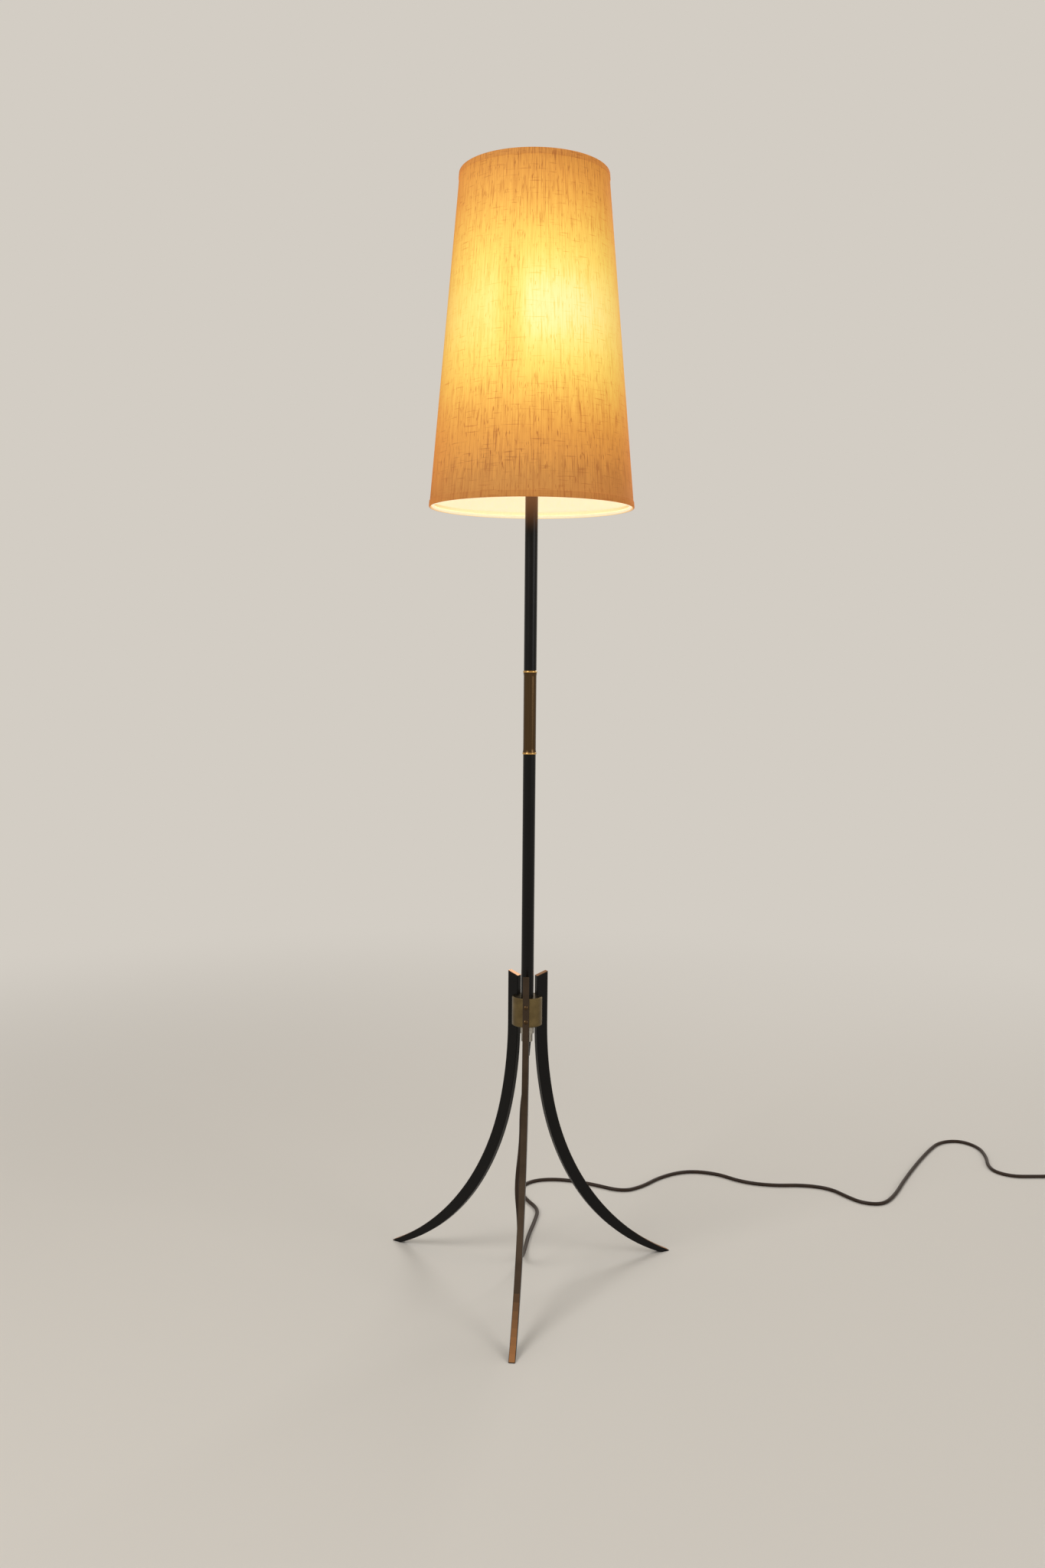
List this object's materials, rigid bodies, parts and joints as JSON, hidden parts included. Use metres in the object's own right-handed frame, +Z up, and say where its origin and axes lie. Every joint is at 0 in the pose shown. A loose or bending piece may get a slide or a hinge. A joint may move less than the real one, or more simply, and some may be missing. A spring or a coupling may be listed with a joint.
{
  "type": "tripod floor lamp",
  "caption": "Tripod floor lamp: curved flat legs in a slotted hub, slim pole with a grip sleeve, tapered fabric shade on a turning spider, bulb cluster and mains lead.",
  "frame": {"origin": "on the floor under the pole's axis", "axes": "+Z up along the pole, -Y towards the front leg"},
  "size_m": [1.2527, 0.9103, 1.5774],
  "materials": {
    "leg_lacquer": "black lacquer on the flats, polished aged brass along the edges",
    "brass": "polished, slightly aged",
    "pole_lacquer": "satin black lacquer",
    "nickel": "dull nickel plate",
    "zinc_steel": "zinc plated",
    "black_rubber": "moulded, matt",
    "cord_pvc": "dark brown-black PVC sheath, satin",
    "plug_plastic": "moulded, matt",
    "holder_plastic": "heat-proof moulded plastic",
    "bulb_cap_metal": "drawn, bright",
    "bulb_opal": "opal, lit warm",
    "linen": "natural slub linen",
    "liner": "white shade film",
    "white_wire": "white powder coat"
  },
  "bodies": {
    "stand": {"base_nipple": "zinc_steel", "base_nut": "nickel", "bulb_cap_1": "bulb_cap_metal", "bulb_cap_2": "bulb_cap_metal", "bulb_cap_3": "bulb_cap_metal", "bulb_glass_1": "bulb_opal", "bulb_glass_2": "bulb_opal", "bulb_glass_3": "bulb_opal", "cluster_arm_1": "brass", "cluster_arm_2": "brass", "cluster_arm_3": "brass", "cluster_body": "brass", "cluster_lid": "brass", "cord_bush": "black_rubber", "cord_coil": "cord_pvc", "cord_lead": "cord_pvc", "cord_tie": "plug_plastic", "finial": "brass", "grip_ring_lower": "brass", "grip_ring_upper": "brass", "grip_sleeve": "brass", "holder_cup_1": "brass", "holder_cup_2": "brass", "holder_cup_3": "brass", "holder_shell_1": "holder_plastic", "holder_shell_2": "holder_plastic", "holder_shell_3": "holder_plastic", "inner_flex": "cord_pvc", "leg_front": "leg_lacquer", "leg_hub": "brass", "leg_left": "leg_lacquer", "leg_right": "leg_lacquer", "leg_screws": "brass", "lower_pole": "pole_lacquer", "plug_body": "plug_plastic", "plug_pins": "nickel", "pole_foot_plug": "zinc_steel", "pole_joiner": "zinc_steel", "pole_top_plug": "zinc_steel", "shade_rod": "zinc_steel", "shade_seat_nut": "zinc_steel", "switch_body": "plug_plastic", "switch_nut": "brass", "upper_pole": "pole_lacquer"},
    "shade": {"shade_linen": "linen", "shade_liner": "liner", "shade_bottom_trim": "linen", "shade_top_trim": "linen", "shade_bottom_ring": "white_wire", "shade_spider": "white_wire"},
    "knob": {"switch_knob": "plug_plastic"}
  },
  "joints": [
    {"name": "shade_turn", "type": "hinge", "parent": "stand", "child": "shade", "pos_m": [0, 0, 1.5524], "axis": [0, 0, 1], "continuous": true},
    {"name": "switch_turn", "type": "hinge", "parent": "stand", "child": "knob", "pos_m": [0.02415, -0.00647, 1.282], "axis": [0.9659, -0.2588, 0], "continuous": true}
  ]
}
